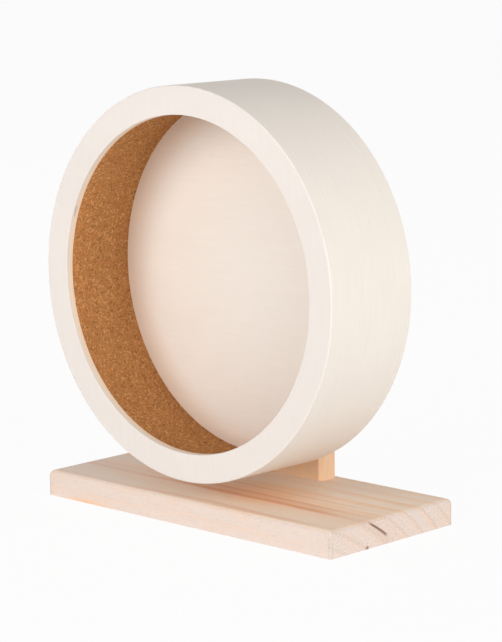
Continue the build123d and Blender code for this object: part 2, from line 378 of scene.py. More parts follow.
def cylinder(name, radius, start, end, across=(0.0, AXLE_HEIGHT), sides=FACETS, axis="Y"):
    """Plain cylinder along the Y or Z axis, as a start or a cutter.

    across is its place on the two other axes.
    """
    only(None)
    middle = (start + end) / 2
    place = {"Y": (across[0], middle, across[1]), "Z": (*across, middle)}[axis]
    tilt = {"Y": (math.pi / 2, 0.0, 0.0), "Z": (0.0, 0.0, 0.0)}[axis]
    bpy.ops.mesh.primitive_cylinder_add(
        vertices=sides, radius=radius, depth=end - start, location=place, rotation=tilt
    )
    piece = bpy.context.object
    piece.name = name
    bpy.ops.object.transform_apply(location=True, rotation=True, scale=True)
    return piece


def modify(piece, kind, **values):
    """Add a modifier with these values and apply it."""
    change = piece.modifiers.new(name=kind.lower(), type=kind)
    for key, value in values.items():
        setattr(change, key, value)
    only(piece)
    bpy.ops.object.modifier_apply(modifier=change.name)


def combine(piece, tool, operation):
    """Join, cut or intersect a piece with a tool, which is used up."""
    modify(piece, "BOOLEAN", operation=operation, solver="EXACT", object=tool)
    bpy.data.objects.remove(tool, do_unlink=True)
    return piece


def cut(piece, tool):
    return combine(piece, tool, "DIFFERENCE")


def finish_piece(piece, body, material, nodes, sharp=30.0, flat_faces=True):
    """Smooth the piece, give it its material and tell the frame what it stands for.

    With flat_faces, a rounded rim doesn't change how the flat face beside it is shaded.
    """
    only(piece)
    bpy.ops.object.shade_smooth_by_angle(angle=math.radians(sharp))
    if flat_faces:
        modify(piece, "WEIGHTED_NORMAL", weight=100, keep_sharp=True)
    piece.data.materials.clear()
    piece.data.materials.append(material)
    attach(piece, body)
    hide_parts(*nodes)
    if not piece.data.polygons:
        raise RuntimeError(f"{piece.name} has no faces")


def dress(nodes, material):
    """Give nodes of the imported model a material."""
    for name in nodes:
        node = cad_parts[name]
        node.data.materials.clear()
        node.data.materials.append(material)


# Shader maths


def maths(operation, reflected=False):
    """Operator of a signal, which adds one Math node."""

    def method(self, other):
        pair = (other, self) if reflected else (self, other)
        return self.finish.maths(operation, *pair)

    return method


class Signal:
    """A shader socket that takes part in plain Python sums."""

    def __init__(self, finish, socket):
        self.finish = finish
        self.socket = socket

    __add__ = maths("ADD")
    __radd__ = maths("ADD", reflected=True)
    __sub__ = maths("SUBTRACT")
    __rsub__ = maths("SUBTRACT", reflected=True)
    __mul__ = maths("MULTIPLY")
    __rmul__ = maths("MULTIPLY", reflected=True)
    __truediv__ = maths("DIVIDE")
    __rtruediv__ = maths("DIVIDE", reflected=True)
    __pow__ = maths("POWER")
    __mod__ = maths("FLOORED_MODULO")

    def __abs__(self):
        return self.finish.maths("ABSOLUTE", self)


class Finish:
    """A procedural material, or the shader of the room, under construction."""

    def __init__(self, name, kept_in="materials"):
        self.block = getattr(bpy.data, kept_in).new(name)
        self.block.use_nodes = True
        self.nodes = self.block.node_tree.nodes
        self.links = self.block.node_tree.links
        self.nodes.clear()

    def node(self, kind, options=None, inputs=None, output=0):
        """Add a node: its options first, then the values or links of its sockets."""
        made = self.nodes.new(kind)
        for key, value in (options or {}).items():
            setattr(made, key, value)
        for key, value in (inputs or {}).items():
            if isinstance(value, Signal):
                self.links.new(value.socket, made.inputs[key])
            else:
                made.inputs[key].default_value = value
        return Signal(self, made.outputs[output])

    def maths(self, operation, *values):
        return self.node("ShaderNodeMath", {"operation": operation}, dict(enumerate(values)))

    def vectors(self, operation, first, second):
        output = "Value" if operation == "DISTANCE" else "Vector"
        return self.node("ShaderNodeVectorMath", {"operation": operation}, {0: first, 1: second}, output)

    def split(self, vector):
        return [self.node("ShaderNodeSeparateXYZ", inputs={0: vector}, output=i) for i in range(3)]

    def joined(self, x, y, z):
        return self.node("ShaderNodeCombineXYZ", inputs={0: x, 1: y, 2: z})

    def place(self, stretch=(1.0, 1.0, 1.0), centre=(0.0, 0.0, 0.0), turned=(0.0, 0.0, 0.0)):
        """Object coordinates in millimetres about a centre, turned and then stretched."""
        raw = self.node("ShaderNodeTexCoord", output="Object")
        away = self.vectors("SUBTRACT", raw, centre)
        straight = self.node("ShaderNodeMapping", inputs={"Vector": away, "Rotation": turned})
        return self.vectors("MULTIPLY", straight, tuple(s / MM for s in stretch))

    def about_axle(self):
        """Millimetres to the right of the axle, along it and above it, and the radius from it."""
        x, y, z = self.split(self.place(centre=(0.0, 0.0, AXLE_HEIGHT)))
        return x, y, z, (x * x + z * z) ** 0.5

    def noise(self, vector, detail=3.0, roughness=0.5, distortion=0.0, scale=1.0, output=0):
        """Noise from 0 to 1, with its middle at 0.5."""
        return self.node("ShaderNodeTexNoise", output=output, inputs={
            "Vector": vector, "Scale": scale, "Detail": detail, "Roughness": roughness,
            "Distortion": distortion,
        })

    def grains(self, vector, scale, output="Color", feature="F1"):
        return self.node(
            "ShaderNodeTexVoronoi", {"feature": feature}, {"Vector": vector, "Scale": scale}, output
        )

    def band(self, value, low, high, out_low=0.0, out_high=1.0):
        """Smooth step from out_low to out_high as value goes from low to high."""
        return self.node(
            "ShaderNodeMapRange",
            {"interpolation_type": "SMOOTHSTEP"},
            {"Value": value, "From Min": low, "From Max": high, "To Min": out_low, "To Max": out_high},
        )

    def bell(self, value, middle, width):
        """Soft stripe, 1 at the middle and 0 a few widths away."""
        away = (value - middle) / width
        return 1.0 / (1.0 + away * away * away * away)

    def mix(self, factor, first, second, blend="MIX"):
        return self.node(
            "ShaderNodeMix",
            {"data_type": "RGBA", "blend_type": blend, "clamp_factor": True},
            {0: factor, 6: first, 7: second},
            2,
        )

    def shade(self, colour, amount):
        """Colour made lighter or darker by a factor that varies."""
        grey = self.node("ShaderNodeCombineColor", inputs={0: amount, 1: amount, 2: amount})
        return self.mix(1.0, colour, grey, "MULTIPLY")

    def bump(self, height, distance, strength=1.0):
        return self.node(
            "ShaderNodeBump", inputs={"Height": height, "Distance": distance, "Strength": strength}
        )

    def seen(self, share):
        """The share for camera, glossy and transmission rays, and 0 for the others."""
        rays = [
            self.node("ShaderNodeLightPath", output=name)
            for name in ("Is Camera Ray", "Is Glossy Ray", "Is Transmission Ray")
        ]
        return self.maths("MINIMUM", rays[0] + rays[1] + rays[2], 1.0) * share

    def output(self, shader, kind="ShaderNodeOutputMaterial"):
        """Send a shader to the output and hand over the finished material or world."""
        self.links.new(shader.socket, self.nodes.new(kind).inputs["Surface"])
        return self.block

    def surface(self, inputs):
        return self.output(self.node("ShaderNodeBsdfPrincipled", inputs=inputs, output="BSDF"))


def tinted(colour, factor):
    """A property's colour made darker, as plain numbers."""
    return (*(c * f for c, f in zip(colour, factor)), 1.0)


# Materials


WHITE = (1.0, 1.0, 1.0, 1.0)
PAPER = (0.93, 0.92, 0.91, 1.0)
SPLIT_WOOD = (0.25, 0.115, 0.06, 1.0)


def veneer(name, face, front, ply, grain_turn=0.0, marks=()):
    """Sanded plywood: a pale face veneer, and plies that show at the cut edges.

    front is where the sheet's front face lies along the axle, and ply the thickness of one ply.
    Each mark is (radius at which it starts, radius at which it is full, colour, strength).
    """
    colours = settings().colours
    f = Finish(name)
    turned = (0.0, grain_turn, 0.0)
    cloud = f.noise(f.place((0.012, 0.012, 0.02)))
    streak = f.noise(f.place((0.035, 0.2, 0.45), turned=turned), 5.0, 0.6, 0.4)
    fibre = f.noise(f.place((0.12, 1.0, 2.4), turned=turned), 3.0, 0.6)
    pore = f.band(fibre, 0.62, 0.74)
    _, y, _, radius = f.about_axle()
    depth = y - front / MM
    layer = f.bell((depth / ply) % 2.0, 1.5, 0.42)
    edge_colour = f.mix(layer * 0.7, colours.ply_edge, colours.glue_layer)
    inside = f.band(depth, 0.2, 3.2)
    base = f.mix(inside, face, edge_colour)
    for start, full, colour, strength in marks:
        base = f.mix(f.band(radius, start, full) * strength, base, colour)
    tone = 1.0 + (cloud - 0.5) * 0.06 + (streak - 0.5) * 0.07 - pore * 0.04
    return f.surface({
        "Base Color": f.shade(base, tone),
        "Roughness": 0.56 + (streak - 0.5) * 0.2,
        "Normal": f.bump(streak * 0.5 + fibre * 0.5, 0.08 * MM),
        "Specular IOR Level": 0.25,
    })


def hoop_veneer(name, node, face, rim_ply_and_shade_colour):
    """Thin bent plywood whose grain runs across the drum, with its plies at the two rims. On the outer
    hoop the rims take the ring's greyer veneer, which is painted shade.
    """
    front, back = span(node)
    middle, half_depth = (front + back) / 2 / MM, (back - front) / 2 / MM
    f = Finish(name)
    x, y, z, radius = f.about_axle()
    round_way = f.maths("ARCTAN2", z, x) * (DRUM_RADIUS / MM)
    cloud = f.noise(f.place((0.02, 0.02, 0.02)))
    streak = f.noise(f.joined(round_way * 0.03, y * 0.5, radius * 0.5), 5.0, 0.6, 0.3)
    fibre = f.noise(f.joined(round_way * 0.15, y * 2.6, radius), 3.0, 0.6)
    rim = f.band(abs(y - middle), half_depth - 1.1, half_depth - 0.1)
    tone = 1.0 + (cloud - 0.5) * 0.06 + (streak - 0.5) * 0.12 - f.band(fibre, 0.62, 0.76) * 0.05
    return f.surface({
        # On the outer hoop the rims' greyer colour is painted shade; on the liner it is the ply edge.
        "Base Color": f.shade(f.mix(rim, face, rim_ply_and_shade_colour), tone),
        "Roughness": 0.55 + (streak - 0.5) * 0.2,
        "Normal": f.bump(streak * 0.5 + fibre * 0.5, 0.08 * MM),
        "Specular IOR Level": 0.25,
    })


def cork_finish(name):
    """Fine pressed cork: angular grains of several tones, with a few dark ones and one dark knot.

    It is painted a little lighter at the mouth and darker towards the discs, as painted light and shade
    in the drum.
    """
    colours = settings().colours
    front, back = span("cork_lining")
    grain, knot_place = 0.62, (-34.6, -5.4, 45.1)
    f = Finish(name)
    p = f.place()
    wander = f.noise(p, 2.0, scale=0.9, output="Color")
    bent = f.vectors("ADD", p, f.vectors("MULTIPLY", wander, (0.9, 0.9, 0.9)))
    tones = f.split(f.grains(bent, grain))
    small = f.split(f.grains(bent, 1.0))
    cloud = f.noise(f.place((0.03, 0.03, 0.03)))
    fine = f.noise(p, 4.0, 0.7)
    light_part = f.band(tones[0] * 0.5 + small[0] * 0.5, 0.5, 0.85)
    dark_part = f.band(tones[1] * 0.65 + small[1] * 0.35, 0.62, 0.92)
    base = f.mix(light_part * 0.85, colours.cork, colours.cork_light)
    base = f.mix(dark_part * 0.6, base, colours.cork_dark)
    knot = f.band(f.vectors("DISTANCE", p, knot_place), 1.0, 2.2, 0.8, 0.0)
    base = f.mix(knot, base, colours.cork_dark)
    joint = f.band(f.grains(bent, grain, "Distance", "DISTANCE_TO_EDGE"), 0.0, 0.16, 1.0, 0.0)
    # Painted light and shade: the cork is lighter at the mouth and darker by depth towards the discs.
    corner = f.band(f.split(p)[1], front / MM, back / MM, 0.05, -0.09)
    tone = 1.05 - joint * 0.16 + (cloud - 0.5) * 0.2 + (fine - 0.5) * 0.9 + corner
    return f.surface({
        "Base Color": f.shade(base, tone),
        "Roughness": 0.78 + (fine - 0.5) * 0.15,
        "Normal": f.bump(tones[2] * 0.4 + fine * 0.6 - joint * 0.35, 0.4 * MM, 0.8),
        "Specular IOR Level": 0.15,
    })


class Pine(Finish):
    """Planed pine cut from one solid pattern of growth rings, so that faces and end grain agree.

    along is the axis of the trunk, and pith its place across it in millimetres.
    """

    def __init__(self, name, along, pith, ring_width):
        super().__init__(name)
        self.x, self.y, self.z = self.split(self.place())
        if along == "X":
            length_way, across, deep = self.x, self.y - pith[0], self.z - pith[1]
        else:
            length_way, across, deep = self.z, self.x - pith[0], self.y - pith[1]
        self.drift = self.noise(self.joined(length_way * 0.006, across * 0.012, deep * 0.012), 2.0)
        self.true_radius = (across * across + deep * deep) ** 0.5
        self.radius = self.true_radius + (self.drift - 0.5) * 9.0
        uneven = self.noise(self.joined(self.radius * 0.055, 3.7, 1.3), 2.0)
        year = (self.radius + (uneven - 0.5) * 9.0) / ring_width
        self.season = year % 1.0
        self.late_wood = self.band(self.season, 0.3, 0.9) * self.band(self.season, 0.92, 1.0, 1.0, 0.0)
        strength = self.noise(self.joined(year * 0.35, length_way * 0.01, 2.2), 2.0)
        self.ring = self.late_wood * self.band(strength, 0.3, 0.7, 0.1, 0.6)
        self.fibre = self.noise(self.joined(length_way * 0.05, across * 1.3, deep * 1.3), 4.0, 0.65)
        fleck = self.noise(self.joined(length_way * 0.3, across * 1.1, deep * 1.1), 2.0)
        self.cloud = self.noise(self.joined(length_way * 0.012, across * 0.03, deep * 0.03))
        self.tone = 1.0 + (self.fibre - 0.5) * 0.2 - self.band(fleck, 0.58, 0.68) * 0.09

    def wood(self, early, ring, stain_and_shade=0.0):
        """Growth rings in the early wood, with faint resinous clouds and any stain and painted shade."""
        late = settings().colours.pine_ring
        resin = self.band(self.cloud, 0.5, 0.8, 0.0, 0.25) + stain_and_shade
        return self.mix(resin, self.mix(ring, early, late), late)

    def planed(self, colour, tone):
        return self.surface({
            "Base Color": self.shade(colour, tone),
            "Roughness": 0.6 + (self.fibre - 0.5) * 0.2,
            "Normal": self.bump(self.fibre * 0.6 - self.late_wood * 0.2, 0.12 * MM),
            "Specular IOR Level": 0.22,
        })


def upright_finish(name):
    """Upright: plain pine with the trunk's axis standing, its colour partly its own and partly painted
    warm shade.
    """
    f = Pine(name, "Z", (-22.0, 118.0), 9.0)
    return f.planed(f.wood(settings().colours.pine_upright_and_shade, f.ring), f.tone)


# Resinous streaks of the base board as (ring radius, width, strength), and its stain and painted shade as
# (middle, reach, strength), in millimetres
BOARD_STREAKS = (
    (191.6, 1.5, 0.8), (194.6, 2.6, 0.4), (197.6, 1.0, 0.55), (206.0, 0.9, 0.3), (178.5, 0.9, 0.35),
)
BOARD_STAINS_AND_SHADE = (
    # Painted shade: orange patch on the top under the drum
    ((28.0, -6.0, 19.0), (62.0, 30.0, 20.0), 0.45),
    # A stain at the lower left of the front
    ((-98.0, -64.5, 0.0), (34.0, 9.0, 4.5), 0.7),
)


def board_finish(name):
    """Base board: pine with a warmer, lighter top that is painted light, streaks, a stain, painted shade
    under the drum and on its corners, and a paler, split end.
    """
    colours = settings().colours
    front, end, top = BASE_LOW.y / MM, BASE_HIGH.x / MM, BASE_HIGH.z / MM
    f = Pine(name, "X", (-123.0, -148.0), 12.0)
    ring = f.ring * f.band(f.y, front + 0.2, front + 6.5, 0.3, 1.0)
    # Painted light: the top is lighter and warmer, most of all towards the right end.
    painted_light_on_top = f.band(f.z, top - 1.4, top - 0.05) * f.band(f.x, -110.0, 40.0, 0.35, 1.0)
    # The patches below hold a real stain and the painted shade under the drum.
    stain_and_shade = 0.0
    for middle, reach_way, amount in BOARD_STAINS_AND_SHADE:
        patch = f.place([1.0 / r for r in reach_way], [m * MM for m in middle])
        away = f.vectors("DISTANCE", patch, (0.0, 0.0, 0.0))
        stain_and_shade = stain_and_shade + f.band(away + (f.cloud - 0.5) * 1.2, 0.2, 1.1, amount, 0.0)
    colour = f.wood(f.mix(painted_light_on_top, colours.pine, colours.pine_top_painted_light), ring, stain_and_shade)

    wander = (f.radius - f.drift * 2.0) + (f.cloud - 0.5) * 3.0
    lengthwise = f.band(f.x, -90.0, 0.0, 0.35, 1.0) * f.band(f.x, 85.0, 130.0, 1.0, 0.4)
    resin = tinted(colours.pine_ring, (0.82, 0.62, 0.5))
    for ring_radius, width, amount in BOARD_STREAKS:
        colour = f.mix(f.bell(wander, ring_radius, width) * lengthwise * amount, colour, resin)

    sawn = f.band(abs(f.x), end - 3.5, end - 0.5)
    pores = f.noise(f.joined(0.0, f.y * 0.8, f.z * 0.8), 2.0, 0.6)
    colour = f.mix(sawn * 0.6, colour, colours.pine)
    # Painted shade: the board's rounded upright corners are darkened by 13 percent.
    corner = f.band(abs(f.x) + abs(f.y), end - front - 2.9, end - front - 1.3)
    tone = f.tone + sawn * ((pores - 0.5) * 0.6 - f.bell(f.season, 0.9, 0.1) * 0.07) - corner * 0.13

    split = f.bell(f.true_radius, 192.8, 0.85) * f.band(f.x, end - 5.0, end - 2.0)
    split = split * f.band(f.y, -26.0, -22.0) * f.band(f.y, -9.0, -5.0, 1.0, 0.0)
    chip = f.vectors("DISTANCE", f.place(), (end, -27.2, 0.9))
    split = split + f.band(chip, 0.9, 2.0, 1.0, 0.0)
    return f.planed(f.mix(split * 0.75, colour, SPLIT_WOOD), tone)


def beech_finish(name, along):
    """Turned beech with short dark flecks and fine marks of the lathe."""
    base = settings().colours.beech
    f = Finish(name)
    _, y, _, radius = f.about_axle()
    stretch = {"X": (0.05, 0.9, 0.9), "Z": (0.9, 0.9, 0.05)}[along]
    streak = f.noise(f.place(stretch), 4.0, 0.6)
    fleck = f.band(f.noise(f.place([2.6 * s for s in stretch]), 2.0), 0.6, 0.72)
    lathe = f.noise(f.joined(radius * 2.4, y * 2.4, 0.0), 2.0)
    colour = f.mix(fleck * 0.35, base, tinted(base, (0.62, 0.52, 0.42)))
    tone = 1.0 + (streak - 0.5) * 0.22 + (lathe - 0.5) * 0.06
    return f.surface({
        "Base Color": f.shade(colour, tone),
        "Roughness": 0.45 + (lathe - 0.5) * 0.2,
        "Normal": f.bump(lathe, 0.1 * MM),
        "Specular IOR Level": 0.3,
    })


def plated_finish(name, base, roughness, mottle):
    """Plated or ground metal: faint mottling in its tone and gloss."""
    f = Finish(name)
    cloud = f.noise(f.place((0.35, 0.35, 0.35)), 4.0, 0.6)
    fine = f.noise(f.place((3.0, 3.0, 3.0)), 2.0)
    return f.surface({
        "Base Color": f.shade(base, 1.0 + (cloud - 0.5) * mottle),
        "Metallic": 1.0,
        "Roughness": roughness + (cloud - 0.5) * 0.22 + (fine - 0.5) * 0.08,
        "Normal": f.bump(fine, 0.02 * MM),
    })


def nylon_finish(name, base):
    """Moulded nylon with a faint orange-peel skin."""
    f = Finish(name)
    cloud = f.noise(f.place((0.5, 0.5, 0.5)))
    peel = f.noise(f.place((2.5, 2.5, 2.5)), 2.0)
    return f.surface({
        "Base Color": f.shade(base, 1.0 + (cloud - 0.5) * 0.08),
        "Roughness": 0.42 + (cloud - 0.5) * 0.12,
        "Normal": f.bump(peel, 0.03 * MM),
        "Subsurface Weight": 0.05,
        "Subsurface Scale": 2.0 * MM,
    })


def floor_finish(name):
    """Pale paper that the camera sees as a white ground with the object's faint shadow."""
    f = Finish(name)
    mottle = f.noise(f.place((0.004, 0.004, 0.004)), 2.0)
    paper = f.node(
        "ShaderNodeBsdfDiffuse", inputs={"Color": f.shade(PAPER, 1.0 + (mottle - 0.5) * 0.01)}
    )
    glow = f.node("ShaderNodeEmission", inputs={"Color": WHITE, "Strength": 1.0})
    return f.output(f.node("ShaderNodeMixShader", inputs={0: f.seen(0.94), 1: paper, 2: glow}))


# Operators


class WHEEL_OT_mouth_ring(Operator):
    """Plywood ring that closes the drum's front down to its mouth"""

    bl_idname = "wheel.mouth_ring"
    bl_label = "Mouth Ring"

    def execute(self, context):
        s, drum = settings(), settings().drum
        front, back = span("mouth_ring")
        inner = drum.mouth_radius
        outer = DRUM_RADIUS - drum.hoop_thickness - drum.ring_fit
        ring = turn(
            "mouth_ring_ply", section(inner, outer, front, back), drum.steps,
            [(inner, front), (inner, back)], drum.mouth_round,
        )
        cut(ring, self.open_ply(inner, front))
        material = veneer("mouth ring plywood", s.colours.ring, front, 1.2, math.pi / 2)
        finish_piece(ring, WHEEL, material, ["mouth_ring"])
        return {"FINISHED"}

    def open_ply(self, inner, front):
        """Cutter for a short gap in one ply, seen on the mouth's wall.

        It starts and sweeps by degrees, and its half widths are in millimetres.
        """
        start, sweep = 156.0, 4.6
        depth, middle = 4.5 * MM, front + 2.3 * MM
        half_widths = [0.03, 0.26, 0.38, 0.44, 0.42, 0.45, 0.38, 0.24, 0.03]
        last = len(half_widths) - 1
        turns = [math.radians(start + sweep * i / last) for i in range(last + 1)]
        near_side = [at_angle(inner - MM, t, middle - h * MM) for t, h in zip(turns, half_widths)]
        far_side = [at_angle(inner - MM, t, middle + h * MM) for t, h in zip(turns, half_widths)]
        outwards = at_angle(depth, turns[last // 2], 0.0) - at_angle(0.0, 0.0, 0.0)
        return thicken(filled("gap cutter", near_side + far_side[::-1]), outwards)


class WHEEL_OT_outer_hoop(Operator):
    """Thin bent plywood skin of the drum"""

    bl_idname = "wheel.outer_hoop"
    bl_label = "Outer Hoop"

    def execute(self, context):
        s, drum = settings(), settings().drum
        front, back = span("outer_hoop")
        inner, outer = DRUM_RADIUS - drum.hoop_thickness, DRUM_RADIUS
        hoop = turn(
            "outer_hoop_ply", section(inner, outer, front, back), drum.steps,
            [(outer, front), (outer, back)], drum.hoop_round,
            seam=drum.hoop_seam, gap=drum.strip_gap,
        )
        # The ring's greyer veneer on the hoop's rims is painted shade.
        material = hoop_veneer("outer hoop plywood", "outer_hoop", s.colours.hoop, s.colours.ring)
        finish_piece(hoop, WHEEL, material, ["outer_hoop"])
        return {"FINISHED"}


class WHEEL_OT_cork_lining(Operator):
    """Cork running track inside the drum"""

    bl_idname = "wheel.cork_lining"
    bl_label = "Cork Lining"

    steps_round = 225
    cuts_across = 17

    def execute(self, context):
        drum = settings().drum
        front, back = span("cork_lining")
        outer = reach("cork_lining")
        inner = outer - drum.cork_thickness
        lining = turn(
            "cork_lining_strip", section(outer, inner, front, back), self.steps_round,
            cuts=(inner, self.cuts_across), seam=drum.cork_seam, gap=drum.strip_gap,
        )
        self.roughen(lining, inner, drum.cork_relief)
        material = cork_finish("pressed cork")
        finish_piece(lining, WHEEL, material, ["cork_lining"], 60.0, flat_faces=False)
        return {"FINISHED"}

    def roughen(self, lining, inner, depth):
        """Divide the strip finely and press the grain into the track's face, and only there."""
        modify(lining, "SUBSURF", subdivision_type="SIMPLE", levels=2, render_levels=2)
        front, back = span("cork_lining")
        rim = MM / 4
        face = [
            v.index for v in lining.data.vertices
            if from_axle(v.co)[0] < inner + SLACK and front + rim < v.co.y < back - rim
        ]
        group = lining.vertex_groups.new(name="face")
        group.add(face, 1.0, "REPLACE")
        grain = bpy.data.textures.new("cork grain", "CLOUDS")
        grain.noise_scale = 2.2 * MM
        grain.noise_depth = 2
        modify(
            lining, "DISPLACE", texture=grain, texture_coords="LOCAL", vertex_group=group.name,
            mid_level=1.0, strength=depth,
        )


class WHEEL_OT_discs(Operator):
    """The drum's two back discs: the plain facing and the one that carries the hub"""

    bl_idname = "wheel.discs"
    bl_label = "Discs"

    def execute(self, context):
        s = settings()
        front, back = span("facing_disc")
        outline = section(0.0, reach("facing_disc"), front, back)
        facing = turn("facing_disc_ply", outline, s.drum.steps)
        # Painted shade: a warm, darker band round the facing disc's rim, beside the cork, stands in for
        # its bounce and occlusion.
        painted_warm_shade = (106.0, 128.0, s.colours.cork_light, 0.19)
        material = veneer("facing disc plywood", s.colours.disc, front, 1.3, marks=[painted_warm_shade])
        finish_piece(facing, WHEEL, material, ["facing_disc"])

        disc = copied("back_disc", "back_disc_ply")
        front = span("back_disc")[0]
        material = veneer("back disc plywood", s.colours.disc, front, 1.2, math.pi / 2)
        finish_piece(disc, WHEEL, material, ["back_disc"])
        return {"FINISHED"}


class WHEEL_OT_hub(Operator):
    """Turned hub with its bearing seats and screw holes"""

    bl_idname = "wheel.hub"
    bl_label = "Hub"

    def execute(self, context):
        sizes = settings().hub
        front, back = span("hub")
        outer = reach("hub")
        seat, shoulder = sizes.seat_radius, sizes.shoulder_radius
        rear_seat = span("rear_bearing_outer_ring")[0]
        front_seat = span("front_bearing_outer_ring")[1]
        outline = [
            (seat, front), (outer, front), (outer, back), (seat, back), (seat, rear_seat),
            (shoulder, rear_seat), (shoulder, front_seat), (seat, front_seat),
        ]
        hub = turn("turned_hub", outline, 2 * FACETS, [(outer, back)], sizes.rim_round)
        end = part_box("hub_screws")[1].y + 0.1 * MM
        for quarter in range(4):
            place = at_angle(sizes.screw_circle, math.radians(45 + 90 * quarter), 0.0)
            across = (place.x, place.z)
            cut(hub, cylinder("hole cutter", sizes.screw_radius, front - MM, end, across, FACETS // 2))
        finish_piece(hub, WHEEL, beech_finish("turned beech", "X"), ["hub"])
        return {"FINISHED"}


class WHEEL_OT_axle(Operator):
    """Bolt, nuts and washers that carry the drum"""

    bl_idname = "wheel.axle"
    bl_label = "Axle"

    def execute(self, context):
        sizes = settings().axle
        zinc = plated_finish("zinc plate", settings().colours.zinc, 0.32, 0.16)
        finish_piece(self.bolt(sizes), STAND, zinc, ["axle_bolt"])
        for node in ("thin_nut", "axle_nut"):
            nut = self.hexagon(node + "_hex", *span(node), sizes.nut_bevel)
            cut(nut, cylinder("bore cutter", sizes.bolt_radius + 0.05 * MM, -1.0, 1.0))
            finish_piece(nut, STAND, zinc, [node])
        front, back = span("wide_washer")
        outer = reach("wide_washer")
        washer = turn(
            "wide_washer_plate", section(sizes.washer_hole, outer, front, back), FACETS,
            [(outer, front), (outer, back)], sizes.washer_round,
        )
        finish_piece(washer, STAND, zinc, ["wide_washer"])
        dress(["head_washer", "rear_washer", "bearing_spacer"], zinc)
        return {"FINISHED"}

    def hexagon(self, name, front, back, bevel, both_ends=True):
        """Hexagon whose corners are turned off, at the front or at both ends."""
        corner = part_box("axle_nut")[1].x / math.cos(math.pi / 6)
        block = cylinder(name, corner, front, back, sides=6)
        ends = [(corner, front), (corner, back)] if both_ends else [(corner, front)]
        lathe = turn("turning", section(0.0, corner, front, back), FACETS, ends, bevel, facets=1)
        return combine(block, lathe, "INTERSECT")

    def bolt(self, sizes):
        front, back = span("axle_bolt")
        head_back = span("head_washer")[0]
        thread_start = span("thin_nut")[0] + 0.1 * MM
        head = self.hexagon("axle_bolt_threaded", front, head_back, sizes.nut_bevel, both_ends=False)
        shank = cylinder("shank", sizes.bolt_radius, head_back, thread_start)
        thread = self.thread(sizes, thread_start, back)
        only(head)
        shank.select_set(True)
        thread.select_set(True)
        bpy.ops.object.join()
        return bpy.context.object

    def thread(self, sizes, front, back):
        """Screw a profile of one turn along the axle, then cut it to length with a bevelled end."""
        pitch, crest = sizes.thread_pitch, sizes.bolt_radius
        root = crest - sizes.thread_depth
        shape = [(root, 0.0), (root, 0.2), (crest, 0.45), (crest, 0.6), (root, 0.85), (root, 1.0)]
        thread = chain("thread", [(radius, 0.0, pitch * way) for radius, way in shape])
        modify(
            thread, "SCREW", axis="Z", screw_offset=pitch,
            iterations=math.ceil((back - front) / pitch) + 2, steps=FACETS // 2,
            render_steps=FACETS // 2, use_merge_vertices=True, merge_threshold=1e-6,
        )
        thread.rotation_euler = (-math.pi / 2, 0.0, 0.0)
        thread.location = (0.0, front - pitch * 1.5, AXLE_HEIGHT)
        bpy.ops.object.transform_apply(location=True, rotation=True, scale=True)
        with editing(thread):
            weld(1e-6)
            bpy.ops.mesh.select_all(action="DESELECT")
            bpy.ops.mesh.select_non_manifold()
            bpy.ops.mesh.edge_face_add()
            face_outward()
        blank = cylinder("blank", crest + 0.01 * MM, front, back)
        with editing(blank, "EDGE"):
            pick(blank, "EDGE", lambda _, part: all(near(v.co.y, back) for v in part.verts))
            bpy.ops.mesh.bevel(offset=sizes.end_bevel, segments=1)
        return combine(thread, blank, "INTERSECT")


class WHEEL_OT_bearings(Operator):
    """Finish of the two ball bearings and of the hidden fastenings"""

    bl_idname = "wheel.bearings"
    bl_label = "Bearings and Fastenings"

    def execute(self, context):
        colours = settings().colours
        steel = plated_finish("bearing steel", colours.steel, 0.2, 0.06)
        nylon = nylon_finish("moulded nylon", colours.nylon)
        for end in ("front", "rear"):
            parts = [f"{end}_bearing_{part}" for part in ("inner_ring", "outer_ring", "shields", "balls")]
            dress(parts, steel)
            dress([f"{end}_bearing_cage"], nylon)
        screws = plated_finish("plated screws", colours.screw_zinc, 0.36, 0.2)
        dress(["hub_screws", "base_screws"], screws)
        dress(["dowels"], beech_finish("beech dowels", "Z"))
        liner = hoop_veneer("liner plywood", "liner_hoop", colours.hoop, colours.ply_edge)
        dress(["liner_hoop"], liner)
        return {"FINISHED"}


class WHEEL_OT_base_board(Operator):
    """Pine base board with its rounded top edges and its drying crack"""

    bl_idname = "wheel.base_board"
    bl_label = "Base Board"

    def execute(self, context):
        board = copied("base_board", "base_board_pine")
        cut(board, self.crack(settings().stand.crack_depth))
        finish_piece(board, STAND, board_finish("planed pine board"), ["base_board"])
        return {"FINISHED"}

    def crack(self, depth):
        """Cutter for the crack that follows the growth rings at the right-hand end.

        Its spine, as (y, z), and its half widths are in millimetres.
        """
        spine = [(-24.6, 17.2), (-21.5, 15.7), (-18.0, 13.7), (-14.0, 11.3), (-10.0, 8.9), (-6.4, 6.7)]
        half_widths = [0.06, 0.3, 0.55, 0.65, 0.4, 0.05]
        across_y, across_z = 0.6, 0.8
        start = BASE_HIGH.x + 0.2 * MM
        upper, lower = [
            [
                (start, (y + side * across_y * h) * MM, (z + side * across_z * h) * MM)
                for (y, z), h in zip(spine, half_widths)
            ]
            for side in (1, -1)
        ]
        return thicken(filled("crack cutter", upper + lower[::-1]), (-depth, 0.0, 0.0))


